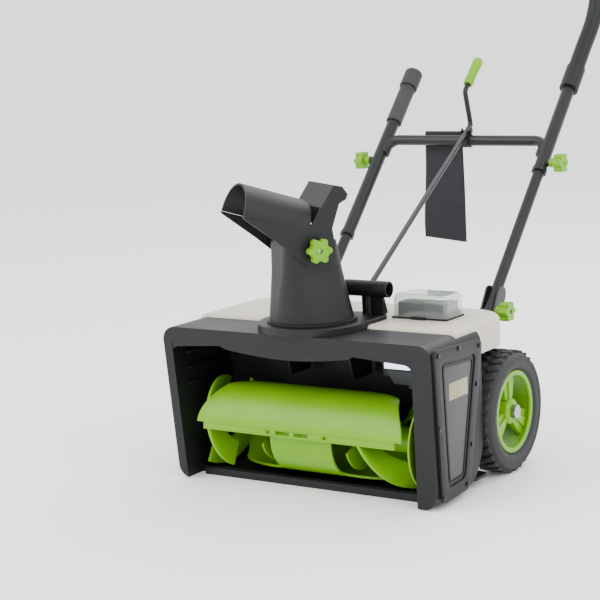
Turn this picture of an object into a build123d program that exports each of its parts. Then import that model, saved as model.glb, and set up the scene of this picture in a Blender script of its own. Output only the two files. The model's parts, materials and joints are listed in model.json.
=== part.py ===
from build123d import *
from math import atan2, cos, degrees, hypot, radians, sin, tan
import os

os.makedirs("parts", exist_ok=True)

# Frame: millimetres, +Z up, -Y is the way the machine is pushed, +X is the belt side.
# The origin is on the ground, in the middle of the scraper's underside.

# ---- driving sizes -------------------------------------------------------------------
running_gap = 0.3          # between pieces that move past each other
seat_gap = 0.2             # between pieces that are fixed side by side
wall = 4.0                 # moulded housing wall
thin_wall = 3.0            # covers and chute

housing_half = 245.0       # half the outer width
housing_lean = 17.0        # how far the left side leans in at the ground
housing_top = 252.0
housing_front = -60.0
housing_foot_front = -52.0
housing_floor = 2.0
rim_side = 17.0            # width of the front rim on the left
rim_drive = 33.0           # width of the front rim on the belt side
rim_top = 24.0             # height of the front rim above the mouth
rim_depth = 12.0

auger_y = 20.0
auger_lift = 10.0             # under the auger
auger_gap = 3.0               # round the auger
auger_radius = 76.0
auger_z = auger_radius + auger_lift
auger_end_gap = 6.0
auger_shaft_r = 8.0
auger_hub_r = 20.0
paddle_half = 112.0        # half the length of the middle paddle
paddle_t = 5.0
flight_width = 42.0
flight_turn = 200.0        # degrees each end flight winds through

pulley_big_r = 30.0
pulley_small_r = 10.0
pulley_width = 14.0
belt_t = 4.0
motor_y = 72.0
motor_drop = 40.0             # from the housing top down to the motor
motor_z = housing_top - motor_drop
motor_r = 29.0
motor_len = 96.0
motor_shaft_r = 4.0

belt_cover_thick = 5.0
cover_out = housing_half + belt_cover_thick
step_y = 35.0              # where the motor cover starts on the housing top
step_drop = 6.0
cover_inset = 9.0
cover_half = housing_half - cover_inset
cover_skirt = housing_top - 44.0
cover_rise = 5.0
cover_top = housing_top + cover_rise
pan_floor = 60.0

wheel_r = 99.0
wheel_rim_r = 67.0
tyre_width = 54.0
wheel_tuck = 43.0             # tyre inside the housing side
wheel_in = housing_half - wheel_tuck
axle_r = 6.0

chute_x = -4.0
chute_y = 14.0
chute_rest = -34.0         # degrees the chute is turned from straight ahead
gear_module = 3.0
gear_teeth = 50
pinion_teeth = 14
gear_z = housing_top + 2.0
gear_t = 6.0
collar_r = 86.0
collar_t = 12.0
collar_top = housing_top + collar_t
tower_top = 88.0
shoulder_height = 81.0        # above the collar
tower_shoulder_z = collar_top + shoulder_height
tower_height = 128.0
tower_top_z = collar_top + tower_height
tower_shift = 10.0         # the top stands this far forward of the turning axis
pivot_drop = 11.0             # below the tower top
pivot_z = tower_top_z - pivot_drop
chute_bolt_r = 4.0

handle_inset = 80.0           # tube axis inside the housing side
handle_half = housing_half - handle_inset
handle_slope = 46.0        # degrees from level
pivot_y = 295.0
pivot_handle_z = 243.0
tube_r = 9.5
sleeve_wall = 2.0
sleeve_r = tube_r + sleeve_wall
crossbar_z = 503.0
upper_knob_z = 468.0
left_sleeve_z = 343.0
right_sleeve_z = 452.0
grip_wall = 3.5
cap_wall = 5.5
neck_wall = 3.0
grip_low_z = 533.0
grip_mid_z = 594.0
grip_high_z = 622.0
socket_z = 630.0
tube_top_z = 610.0
fold_bolt_r = 4.0

rod_r = 4.5
bracket_tube_r = 13.0
bracket_height = 42.0
bracket_tube_z = collar_top + bracket_height

reach = 400.0              # longer than any cut has to be
slope = radians(handle_slope)
along = Vector(0, cos(slope), sin(slope))


def on_tube(x, z):
    """A point on a handle tube's axis at height z."""
    return Vector(x, pivot_y + (z - pivot_handle_z) / tan(slope), z)


def tube_plane(x, z):
    """A plane square to the handle tube at height z, looking up the tube."""
    return Plane(origin=on_tube(x, z), x_dir=(1, 0, 0), z_dir=along)


def tube_run(z_low, z_high):
    """The length along a handle tube between two heights."""
    return (z_high - z_low) / sin(slope)


def save(shape, name):
    shape.label = name
    export_step(shape, f"parts/{name}.step")


# ---- auger housing -------------------------------------------------------------------
scroll_r = auger_radius + auger_gap
housing_back = auger_y + scroll_r + wall
wheel_gap = 3.0               # tyre behind the housing
wheel_y = housing_back + wheel_gap + wheel_r
cover_back = wheel_y + 31.0
pan_half = handle_half - 17.0  # between the handle brackets
mouth_top = housing_top - rim_top
mouth_left = -(housing_half - rim_side)
mouth_right = housing_half - rim_drive
ceiling = housing_top - step_drop - wall
pinion_r = gear_module * pinion_teeth / 2
gear_r = gear_module * gear_teeth / 2
gear_centres = gear_r + pinion_r
neck_r = gear_r - 18.0
tower_base = 2 * (gear_r - 9.0)
tower_base_side = 2 * (gear_r - 15.0)
bracket_angle = radians(38.6)
pinion_x = chute_x + gear_centres * sin(bracket_angle)
pinion_y = chute_y + gear_centres * cos(bracket_angle)
tongue_r = pinion_r + gear_module + 4.0

with BuildSketch(Plane.XZ) as front_outline:
    with BuildLine():
        Polyline(
            (-housing_half, housing_top),
            (housing_half, housing_top),
            (housing_half, housing_floor),
            (-(housing_half - housing_lean), housing_floor),
            close=True,
        )
    make_face()
    fillet(front_outline.vertices(), 22)

with BuildSketch(Plane.YZ) as side_outline:
    with BuildLine():
        Line((housing_front, housing_top), (housing_foot_front, housing_floor))
        Line((housing_foot_front, housing_floor), (auger_y, housing_floor))
        CenterArc((auger_y, auger_z), auger_z - housing_floor, -90, 90)
        Line((auger_y + auger_z - housing_floor, auger_z), (housing_back, housing_top))
        Line((housing_back, housing_top), (housing_front, housing_top))
    make_face()

with BuildSketch(Plane.YZ) as scroll_space:
    with BuildLine():
        Line((housing_front - 10, ceiling), (housing_front - 10, -10))
        Line((housing_front - 10, -10), (-10, -10))
        Line((-10, -10), (-10, auger_z - scroll_r + 6))
        Line((-10, auger_z - scroll_r + 6), (auger_y, auger_z - scroll_r))
        CenterArc((auger_y, auger_z), scroll_r, -90, 90)
        Line((auger_y + scroll_r, auger_z), (auger_y + scroll_r - 2, ceiling))
        Line((auger_y + scroll_r - 2, ceiling), (housing_front - 10, ceiling))
    make_face()

with BuildSketch(Plane.XZ) as scroll_width:
    with BuildLine():
        Polyline(
            (mouth_left, ceiling + 1),
            (mouth_right, ceiling + 1),
            (mouth_right, -12),
            (mouth_left + housing_lean, -12),
            close=True,
        )
    make_face()

motor_left = mouth_right - motor_len - 8
bay_y = motor_y - motor_r - 4
bay_z = motor_z - motor_r - 4
with BuildPart(mode=Mode.PRIVATE) as cavity:
    with BuildSketch(Plane.YZ.offset(-housing_half)):
        add(scroll_space.sketch_local)
    extrude(amount=2 * housing_half)
    with BuildSketch(Plane.XZ.offset(-reach)):
        add(scroll_width.sketch_local)
    extrude(amount=2 * reach, mode=Mode.INTERSECT)
    with Locations(((motor_left + housing_half) / 2, (bay_y + 200) / 2, (bay_z + 300) / 2)):
        Box(housing_half - motor_left, 200 - bay_y, 300 - bay_z, mode=Mode.SUBTRACT)
    with Locations((0, housing_front, mouth_top + 20)):
        Box(2 * housing_half, 2 * rim_depth, 40, mode=Mode.SUBTRACT)


def collar_outline(grow):
    """The collar's outline with its tongue, on the ground plane."""
    with BuildSketch(Plane.XY) as outline:
        with Locations((chute_x, chute_y)):
            Circle(collar_r + grow)
        with Locations((pinion_x, pinion_y)):
            Circle(tongue_r + grow)
        make_hull()
    return outline.sketch_local


# the space behind the belt cover, and the outline of the cover itself
def cover_outline(inset):
    """The belt cover's outline, seen from the side, moved in by inset."""
    with BuildSketch(Plane.YZ) as outline:
        with BuildLine():
            Polyline(
                (housing_front + 2, housing_top - 6),
                (103, housing_top - 14),
                (48, 13),
                (housing_foot_front + 3, 8),
                close=True,
            )
        make_face()
        fillet(outline.vertices(), 14)
        offset(amount=-inset, kind=Kind.INTERSECTION)
    return outline.sketch_local


cover_sketch = cover_outline(0)
pocket_sketch = cover_outline(8)
foot_sketch = collar_outline(0)
foot_clear_sketch = collar_outline(seat_gap)

with BuildPart() as auger_housing:
    with BuildSketch(Plane.YZ.offset(-housing_half - 5)):
        add(side_outline.sketch_local)
    extrude(amount=2 * housing_half + 10)
    with BuildSketch(Plane.XZ.offset(-reach)):
        add(front_outline.sketch_local)
    extrude(amount=2 * reach, mode=Mode.INTERSECT)
    add(cavity.part, mode=Mode.SUBTRACT)
    # motor bay, open to the back
    with Locations(((motor_left + wall + mouth_right) / 2, (bay_y + wall + 200) / 2, motor_z)):
        Box(
            mouth_right - motor_left - wall,
            200 - bay_y - wall,
            2 * (motor_r + 1),
            mode=Mode.SUBTRACT,
        )
    # step down for the motor cover, except under the chute collar
    with BuildPart(mode=Mode.PRIVATE) as step_cut:
        with Locations((0, step_y + 100, housing_top)):
            Box(2 * housing_half + 20, 200, 2 * step_drop)
        add(foot_sketch)
        extrude(amount=400, mode=Mode.SUBTRACT)
    add(step_cut.part, mode=Mode.SUBTRACT)
    # belt side pocket
    with BuildSketch(Plane.YZ.offset(mouth_right + wall)) as pocket_cut:
        add(pocket_sketch)
    extrude(amount=60, mode=Mode.SUBTRACT)
    # outlet up into the chute
    with Locations((chute_x, chute_y, housing_top)):
        Cylinder(neck_r + 2, 40, mode=Mode.SUBTRACT)
    # bearing seats and the motor shaft's hole
    with Locations((0, auger_y, auger_z)):
        Cylinder(14, 600, rotation=(0, 90, 0), mode=Mode.SUBTRACT)
    with Locations((housing_half, motor_y, motor_z)):
        Cylinder(8, 100, rotation=(0, 90, 0), mode=Mode.SUBTRACT)
save(auger_housing.part, "auger_housing")

left_wall_x = mouth_left + housing_lean * (ceiling - auger_z) / ceiling
with BuildPart() as auger_bearings:
    for inner_x, length in ((left_wall_x - 10, 8), (mouth_right, wall)):
        with BuildSketch(Plane.YZ.offset(inner_x)) as bearing_ring:
            with Locations((auger_y, auger_z)):
                Circle(14 - seat_gap / 4)
                Circle(auger_shaft_r + 0.05, mode=Mode.SUBTRACT)
        extrude(amount=length)
save(auger_bearings.part, "auger_bearings")

scraper_half = mouth_right - 8
with BuildPart() as scraper:
    with BuildSketch(Plane.YZ.offset(-scraper_half)) as scraper_outline:
        with BuildLine():
            Polyline((-16, 0), (10, 0), (10, housing_floor - seat_gap), (-10.5, housing_floor - seat_gap),
                     (-10.5, 12), (-16, 12), close=True)
        make_face()
    extrude(amount=2 * scraper_half)
save(scraper.part, "scraper")

with BuildPart() as belt_cover:
    with BuildSketch(Plane.YZ.offset(housing_half + seat_gap)) as cover_face:
        add(cover_sketch)
    extrude(amount=cover_out - housing_half - seat_gap)
    chamfer(belt_cover.faces().sort_by(Axis.X)[-1].edges(), 1.5)
    with BuildSketch(Plane.YZ.offset(housing_half + seat_gap)) as cover_hollow:
        add(pocket_sketch)
    extrude(amount=2.2, mode=Mode.SUBTRACT)
save(belt_cover.part, "belt_cover")

screw_spots = [(-45, housing_top - 16), (20, housing_top - 16), (88, housing_top - 24), (77, housing_top - 82),
               (56, 80), (38, 22), (-38, 18), (-46, 125)]
with BuildPart() as cover_screws:
    with Locations([(cover_out + 1.2, y, z) for y, z in screw_spots]):
        Cylinder(3.6, 2.0, rotation=(0, 90, 0))
save(cover_screws.part, "cover_screws")

# ---- auger and its drive -------------------------------------------------------------
auger_half = -left_wall_x - auger_end_gap - 10
belt_x = mouth_right + wall + 4
with BuildPart() as auger_shaft:
    with BuildSketch(Plane.YZ.offset(left_wall_x - 9)) as shaft_end:
        with Locations((auger_y, auger_z)):
            Circle(auger_shaft_r)
    extrude(amount=belt_x + pulley_width + 4 - left_wall_x + 9)
save(auger_shaft.part, "auger_shaft")


def flight(start_x, end_x, start_angle, turn):
    """A helical ribbon about the auger's axis, lofted through radial sections."""
    steps = 10
    with BuildPart(mode=Mode.PRIVATE) as ribbon:
        for step in range(steps + 1):
            share = step / steps
            angle = start_angle + turn * share
            station = Plane(
                origin=(start_x + (end_x - start_x) * share, auger_y, auger_z),
                x_dir=(0, cos(radians(angle)), sin(radians(angle))),
                z_dir=(0, -sin(radians(angle)), cos(radians(angle))),
            )
            with BuildSketch(station):
                with Locations((auger_radius - flight_width / 2, 0)):
                    Rectangle(flight_width, paddle_t * 1.6)
        loft()
    return ribbon.part


with BuildPart() as auger_rotor:
    with BuildSketch(Plane.YZ.offset(-auger_half)) as rotor_hub:
        with Locations((auger_y, auger_z)):
            Circle(auger_hub_r)
    extrude(amount=2 * auger_half)
    with BuildSketch(Plane.YZ.offset(-paddle_half)) as paddle_outline:
        for turn in (0, 180):
            with BuildLine() as blade_line:
                start = Vector(auger_hub_r - 3, 0).rotate(Axis.Z, turn - 20)
                middle = Vector(auger_radius * 0.68, 0).rotate(Axis.Z, turn + 24)
                finish = Vector(auger_radius - 3, 0).rotate(Axis.Z, turn)
                shift = Vector(auger_y, auger_z)
                ThreePointArc(start + shift, middle + shift, finish + shift)
            trace(line_width=paddle_t)
    extrude(amount=2 * paddle_half)
    for end_x in (-auger_half + 4, auger_half - 4):
        with BuildSketch(Plane.YZ.offset(end_x - 4)) as end_plate:
            with Locations((auger_y, auger_z)):
                Circle(auger_radius - flight_width + 8)
        extrude(amount=8)
    for turn in (0, 180):
        add(flight(paddle_half - 6, auger_half - 4, turn, -flight_turn))
        add(flight(-paddle_half + 6, -auger_half + 4, turn, -flight_turn))
    with Locations((0, auger_y, auger_z)):
        Cylinder(auger_shaft_r + 0.02, 600, rotation=(0, 90, 0), mode=Mode.SUBTRACT)
save(auger_rotor.part, "auger_rotor")


def pulley(radius, bore, centre_y, centre_z):
    """A flanged belt pulley on the belt's plane."""
    with BuildPart(mode=Mode.PRIVATE) as wheel:
        with BuildSketch(Plane.YZ.offset(belt_x)) as groove:
            with Locations((centre_y, centre_z)):
                Circle(radius)
                Circle(bore, mode=Mode.SUBTRACT)
        extrude(amount=pulley_width)
        for flange_x in (belt_x, belt_x + pulley_width - 1.5):
            with BuildSketch(Plane.YZ.offset(flange_x)) as flange:
                with Locations((centre_y, centre_z)):
                    Circle(radius + belt_t)
                    Circle(bore, mode=Mode.SUBTRACT)
            extrude(amount=1.5)
    return wheel.part


save(pulley(pulley_big_r, auger_shaft_r, auger_y, auger_z), "auger_pulley")
save(pulley(pulley_small_r, motor_shaft_r, motor_y, motor_z), "motor_pulley")


def belt_loop(grow):
    """The outline round both pulleys, moved out by grow."""
    with BuildSketch(Plane.YZ) as loop:
        with Locations((auger_y, auger_z)):
            Circle(pulley_big_r + grow)
        with Locations((motor_y, motor_z)):
            Circle(pulley_small_r + grow)
        make_hull()
    return loop.sketch_local


with BuildPart() as drive_belt:
    with BuildSketch(Plane.YZ.offset(belt_x + 2)) as belt_outline:
        add(belt_loop(running_gap + 3.2))
        add(belt_loop(running_gap), mode=Mode.SUBTRACT)
    extrude(amount=pulley_width - 4)
save(drive_belt.part, "drive_belt")

motor_front = mouth_right - 2
with BuildPart() as motor_can:
    with BuildSketch(Plane.YZ.offset(motor_front - motor_len)) as can_ring:
        with Locations((motor_y, motor_z)):
            Circle(motor_r)
    extrude(amount=motor_len)
    with Locations((motor_front - motor_len / 2, motor_y, motor_z)):
        Cylinder(motor_r - 3, motor_len - 8, rotation=(0, 90, 0), mode=Mode.SUBTRACT)
    with Locations((motor_front, motor_y, motor_z)):
        Cylinder(motor_shaft_r + 0.05, 40, rotation=(0, 90, 0), mode=Mode.SUBTRACT)
save(motor_can.part, "motor_can")

with BuildPart() as motor_rotor:
    with Locations((motor_front - motor_len / 2, motor_y, motor_z)):
        Cylinder(motor_r - 6, motor_len - 20, rotation=(0, 90, 0))
    with BuildSketch(Plane.YZ.offset(motor_front - 12)) as rotor_shaft:
        with Locations((motor_y, motor_z)):
            Circle(motor_shaft_r)
    extrude(amount=belt_x + pulley_width + 2 - motor_front + 12)
save(motor_rotor.part, "motor_rotor")

# ---- rear body -----------------------------------------------------------------------
pan_front = housing_back + 1
with BuildPart() as rear_pan:
    with BuildSketch(Plane.YZ.offset(-pan_half)) as pan_side:
        with BuildLine():
            Polyline(
                (pan_front, cover_skirt - 1),
                (pan_front, pan_floor + 20),
                (pan_front + 20, pan_floor),
                (wheel_y + 10, pan_floor),
                (cover_back - 6, cover_skirt - 1),
                close=True,
            )
        make_face()
    extrude(amount=2 * pan_half)
    fillet(rear_pan.edges().filter_by(Axis.X).group_by(Axis.Z)[0], 8)
    offset(amount=-thin_wall, openings=rear_pan.faces().sort_by(Axis.Z)[-1])
    with Locations((0, wheel_y, wheel_r)):
        Cylinder(axle_r + 0.1, 400, rotation=(0, 90, 0), mode=Mode.SUBTRACT)
    # opening towards the motor bay
    with Locations(((motor_left + wall + pan_half) / 2, pan_front, motor_z - 12)):
        Box(pan_half - motor_left - 2 * wall - 6, 12, 30, mode=Mode.SUBTRACT)
save(rear_pan.part, "rear_pan")

tray_left = 86.0
tray_right = 184.0
tray_front = pan_front + 4
tray_back = tray_front + 60
tray_floor = cover_top - 46.0
tray_rim = cover_top + 3.0
tray_x = (tray_left + tray_right) / 2
tray_y = (tray_front + tray_back) / 2
tray_w = tray_right - tray_left
tray_d = tray_back - tray_front
lid_height = 36.0

with BuildPart() as motor_cover:
    with BuildSketch(Plane.XY.offset(cover_skirt)) as cover_plan:
        with BuildLine():
            Polyline(
                (-cover_half, step_y),
                (cover_half, step_y),
                (cover_half, cover_back),
                (-cover_half, cover_back),
                close=True,
            )
        make_face()
        fillet(cover_plan.vertices().group_by(Axis.Y)[-1], 62)
    extrude(amount=cover_top - cover_skirt)
    fillet(motor_cover.faces().sort_by(Axis.Z)[-1].edges(), 9)
    offset(amount=-thin_wall, openings=motor_cover.faces().sort_by(Axis.Z)[0])
    # sits on the lowered housing top, ahead of the rear body
    with Locations((0, (step_y + pan_front) / 2 - 20, cover_skirt - 20)):
        Box(2 * housing_half, pan_front - step_y + 40, 2 * (housing_top - step_drop + seat_gap - cover_skirt + 20),
            mode=Mode.SUBTRACT)
    add(foot_clear_sketch)
    extrude(amount=400, mode=Mode.SUBTRACT)
    with Locations((tray_x, tray_y, cover_top)):
        Box(tray_w - 6 + 2 * seat_gap, tray_d - 6 + 2 * seat_gap, 40, mode=Mode.SUBTRACT)
save(motor_cover.part, "motor_cover")

with BuildPart() as battery_tray:
    with Locations((tray_x, tray_y, (tray_floor + tray_rim) / 2)):
        Box(tray_w - 6, tray_d - 6, tray_rim - tray_floor)
    with Locations((tray_x, tray_y, (cover_top + seat_gap + tray_rim) / 2)):
        Box(tray_w, tray_d, tray_rim - cover_top - seat_gap)
    with Locations((tray_x, tray_y, (tray_floor + tray_rim) / 2 + 3)):
        Box(tray_w - 12, tray_d - 12, tray_rim - tray_floor, mode=Mode.SUBTRACT)
save(battery_tray.part, "battery_tray")

pack_w = tray_w - 14
pack_d = tray_d - 14
with BuildPart() as battery_pack:
    with Locations((tray_x, tray_y, (tray_floor + 3.2 + tray_rim + 22) / 2)):
        Box(pack_w, pack_d, tray_rim + 22 - tray_floor - 3.2)
    fillet(battery_pack.edges().filter_by(Axis.Z), 4)
    with Locations((tray_x, tray_y, tray_rim + 22)):
        Box(27, 19, 8, mode=Mode.SUBTRACT)
save(battery_pack.part, "battery_pack")

with BuildPart() as battery_button:
    with Locations((tray_x, tray_y, tray_rim + 22 + 1.5)):
        Box(26, 18, 5)
    fillet(battery_button.edges().filter_by(Axis.Z), 4)
save(battery_button.part, "battery_button")

hinge_out = 39.0
hinge_block_w = 6.0
hinge_relief_r = 6.5
with BuildPart() as battery_lid:
    with Locations((tray_x, tray_y, tray_rim + running_gap + lid_height / 2)):
        Box(tray_w, tray_d, lid_height)
    fillet(battery_lid.edges().filter_by(Axis.Z), 10)
    fillet(battery_lid.faces().sort_by(Axis.Z)[-1].edges(), 8)
    offset(amount=-2.4, openings=battery_lid.faces().sort_by(Axis.Z)[0])
    with Locations((tray_x, tray_back + 3.5, tray_rim + 4)):
        Cylinder(3, 70, rotation=(0, 90, 0))
    with Locations((tray_x, tray_back + 1, tray_rim + 4)):
        Box(70, 4, 5)
    with Locations((tray_x, tray_back + 3.5, tray_rim + 4)):
        Cylinder(1.3, 200, rotation=(0, 90, 0), mode=Mode.SUBTRACT)
    # round reliefs, so that the hinge blocks clear the lid at every angle
    with Locations(*[(tray_x + side * hinge_out, tray_back + 3.5, tray_rim + 4) for side in (-1, 1)]):
        Cylinder(hinge_relief_r, hinge_block_w + 1, rotation=(0, 90, 0), mode=Mode.SUBTRACT)
save(battery_lid.part, "battery_lid")

with BuildPart() as lid_hinge:
    for side in (-1, 1):
        with Locations((tray_x + side * hinge_out, tray_back + 3.5, tray_rim + 2.3)):
            Box(hinge_block_w, 7, 6.4)
    with Locations((tray_x, tray_back + 3.5, tray_rim + 4)):
        Cylinder(1.25, 84, rotation=(0, 90, 0))
save(lid_hinge.part, "lid_hinge")

with BuildPart() as lid_latch:
    with Locations((tray_x, tray_front - 2.1, cover_top + seat_gap + 2.4)):
        Box(24, 3.8, 4.6)
save(lid_latch.part, "lid_latch")

with BuildPart() as motor_controller:
    with Locations((-40, pan_front + 45, pan_floor + 60)):
        Box(110, 60, 34)
    fillet(motor_controller.edges().filter_by(Axis.Z), 4)
    with Locations([(-40 + step * 12, pan_front + 45, pan_floor + 82) for step in range(-4, 5)]):
        Box(3, 56, 12)
save(motor_controller.part, "motor_controller")

# work lamp on the front of the motor bay
lamp_x = motor_left + 30
lamp_z = bay_z + 20
with BuildPart() as lamp_housing:
    with Locations((lamp_x, bay_y - 5.2, lamp_z)):
        Box(52, 10, 18)
    with Locations((lamp_x, bay_y - 10, lamp_z)):
        Box(46, 8, 12, mode=Mode.SUBTRACT)
save(lamp_housing.part, "lamp_housing")
with BuildPart() as lamp_lens:
    with Locations((lamp_x, bay_y - 9, lamp_z)):
        Box(45.6, 2, 11.6)
save(lamp_lens.part, "lamp_lens")
with BuildPart() as lamp_leds:
    with Locations([(lamp_x + step * 12, bay_y - 7.1, lamp_z) for step in (-1, 0, 1)]):
        Cylinder(3, 1.6, rotation=(90, 0, 0))
save(lamp_leds.part, "lamp_leds")

with BuildPart() as skid_plate:
    with Locations((0, (auger_y + 60 + 128) / 2, 15)):
        Box(2 * (housing_half - 4), 128 - auger_y - 60, 5)
    fillet(skid_plate.edges().filter_by(Axis.Z), 12)
save(skid_plate.part, "skid_plate")

# ---- wheels --------------------------------------------------------------------------
axle_end = wheel_in + tyre_width
with BuildPart() as wheel_axle:
    with Locations((0, wheel_y, wheel_r)):
        Cylinder(axle_r, 2 * axle_end - 12, rotation=(0, 90, 0))
save(wheel_axle.part, "wheel_axle")

spokes = 3
for name, side in (("left", -1), ("right", 1)):
    flat = Plane.YZ if side > 0 else Plane.YZ.rotated((0, 0, 180))
    inner = flat.offset(wheel_in) if side > 0 else flat.offset(-wheel_in - tyre_width)
    with BuildPart() as tyre:
        with BuildSketch(Plane.XZ) as tyre_section:
            with Locations((side * (wheel_in + tyre_width / 2), (wheel_rim_r + wheel_r) / 2)):
                RectangleRounded(tyre_width, wheel_r - wheel_rim_r, 12)
        revolve(axis=Axis.X)
    save(Pos(0, wheel_y, wheel_r) * tyre.part, f"tyre_{name}")
    with BuildPart() as rim:
        with BuildSketch(Plane.XZ) as rim_section:
            with Locations((side * (wheel_in + tyre_width / 2), wheel_rim_r - 3 - seat_gap / 2)):
                Rectangle(tyre_width - 10, 6)
            with Locations((side * (wheel_in + tyre_width / 2 + 4), 22)):
                Rectangle(tyre_width - 16, 20)
        revolve(axis=Axis.X)
        with BuildSketch(Plane.YZ.offset(side * (wheel_in + tyre_width / 2 + 4) - 6)) as spoke_outline:
            with PolarLocations(0, spokes, start_angle=90):
                with Locations((40, 0)):
                    Rectangle(48, 34)
        extrude(amount=12)
        with Locations((side * wheel_in, 0, 0)):
            Cylinder(axle_r + 0.05, 200, rotation=(0, 90, 0), mode=Mode.SUBTRACT)
    save(Pos(0, wheel_y, wheel_r) * rim.part, f"wheel_rim_{name}")

with BuildPart() as axle_caps:
    for side in (-1, 1):
        with Locations((side * (axle_end - 2.9), wheel_y, wheel_r)):
            Cylinder(11, 5.8, rotation=(0, 90, 0))
save(axle_caps.part, "axle_caps")

# ---- chute ---------------------------------------------------------------------------
chute_plane = Plane(origin=(chute_x, chute_y, 0)).rotated((0, 0, chute_rest - 90))
# in this plane x is the way the snow leaves and y is across the chute


def gear_outline(teeth, centre_plane, height, turn):
    """A spur gear's solid with straight-sided teeth."""
    pitch_r = gear_module * teeth / 2
    with BuildPart(mode=Mode.PRIVATE) as gear:
        with BuildSketch(centre_plane) as outline:
            Circle(pitch_r - gear_module * 1.1)
            with PolarLocations(0, teeth, start_angle=turn):
                with BuildLine(mode=Mode.PRIVATE) as tooth_line:
                    base = gear_module * 0.86
                    tip = gear_module * 0.34
                    Polyline(
                        (pitch_r - gear_module * 1.3, -base),
                        (pitch_r + gear_module * 0.8, -tip),
                        (pitch_r + gear_module * 0.8, tip),
                        (pitch_r - gear_module * 1.3, base),
                        close=True,
                    )
                add(make_face(tooth_line.edges(), mode=Mode.PRIVATE))
        extrude(amount=height)
    return gear.part


pinion_bearing = degrees(atan2(pinion_y - chute_y, pinion_x - chute_x))
gear_plane = Plane(origin=(chute_x, chute_y, gear_z)).rotated((0, 0, pinion_bearing))
pinion_plane = Plane(origin=(pinion_x, pinion_y, gear_z)).rotated((0, 0, pinion_bearing + 180))
with BuildPart() as chute_gear:
    add(gear_outline(gear_teeth, gear_plane, gear_t, 0))
    with Locations((chute_x, chute_y, gear_z)):
        Cylinder(neck_r - 3, 40, mode=Mode.SUBTRACT)
    with BuildSketch(Plane.XY.offset(gear_z - 10)) as gear_neck:
        with Locations((chute_x, chute_y)):
            Circle(neck_r)
            Circle(neck_r - 3, mode=Mode.SUBTRACT)
    extrude(amount=collar_top + 0.5 - gear_z + 10)
save(chute_gear.part, "chute_gear")

with BuildPart() as chute_collar:
    with BuildSketch(Plane.XY.offset(housing_top + seat_gap)) as collar_sketch:
        add(foot_sketch)
    extrude(amount=collar_top - housing_top - seat_gap)
    chamfer(chute_collar.faces().sort_by(Axis.Z)[-1].edges(), 1.5)
    with BuildSketch(Plane.XY.offset(housing_top)) as gear_room:
        with Locations((chute_x, chute_y)):
            Circle(gear_r + gear_module + 1)
        with Locations((pinion_x, pinion_y)):
            Circle(pinion_r + gear_module + 1)
    extrude(amount=gear_z + gear_t + 0.8 - housing_top, mode=Mode.SUBTRACT)
    with Locations((pinion_x, pinion_y, collar_top)):
        Cylinder(4.2, 60, mode=Mode.SUBTRACT)
    # floor under the gears
    with BuildSketch(Plane.XY.offset(housing_top + seat_gap)) as collar_floor:
        with Locations((pinion_x, pinion_y)):
            Circle(tongue_r)
    extrude(amount=1.2)
    with Locations((chute_x, chute_y, collar_top)):
        Cylinder(neck_r + 1, 60, mode=Mode.SUBTRACT)
save(chute_collar.part, "chute_collar")

# the crank rod runs from the bevel pair to just above the crossbar
bar_y = on_tube(0, crossbar_z).Y
rod_foot = Vector(pinion_x, pinion_y, bracket_tube_z)
rod_gap = (tube_r + rod_r + 1.0) / cos(radians(24.3))
rod_over = Vector(2, bar_y, crossbar_z + rod_gap)
rod_dir = (rod_over - rod_foot).normalized()

with BuildPart() as rod_bracket:
    with BuildSketch(Plane.YZ.offset(16)) as bracket_ring:
        with Locations((pinion_y, bracket_tube_z)):
            Circle(bracket_tube_r)
            Circle(bracket_tube_r - 2.5, mode=Mode.SUBTRACT)
    extrude(amount=pinion_x + 38 - 16)
    with BuildSketch(Plane.YZ.offset(pinion_x - 16)) as bracket_web:
        with BuildLine():
            Polyline(
                (pinion_y + 6, collar_top + seat_gap),
                (pinion_y + 22, collar_top + seat_gap),
                (pinion_y + 9, bracket_tube_z - 8),
                (pinion_y + 5, bracket_tube_z - 11.6),
                close=True,
            )
        make_face()
    extrude(amount=38)
    with Locations((pinion_x, pinion_y, bracket_tube_z - 12)):
        Cylinder(4.6, 14, mode=Mode.SUBTRACT)
    # mouth for the crank rod
    with BuildSketch(Plane(origin=rod_foot, x_dir=(1, 0, 0), z_dir=rod_dir)) as rod_mouth:
        Circle(rod_r + 1.5)
    extrude(amount=30, mode=Mode.SUBTRACT)
save(rod_bracket.part, "rod_bracket")

with BuildPart() as drive_pinion:
    add(gear_outline(pinion_teeth, pinion_plane, gear_t, 180 / pinion_teeth))
    with BuildSketch(Plane.XY.offset(gear_z)) as pinion_shaft:
        with Locations((pinion_x, pinion_y)):
            Circle(4)
    extrude(amount=bracket_tube_z - 8 - gear_z)
    with BuildSketch(Plane.XY.offset(bracket_tube_z - 8)) as bevel_low:
        with Locations((pinion_x, pinion_y)):
            Circle(4)
    with BuildSketch(Plane.XY.offset(bracket_tube_z - 5)) as bevel_high:
        with Locations((pinion_x, pinion_y)):
            Circle(2)
    loft()
save(drive_pinion.part, "drive_pinion")

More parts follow.
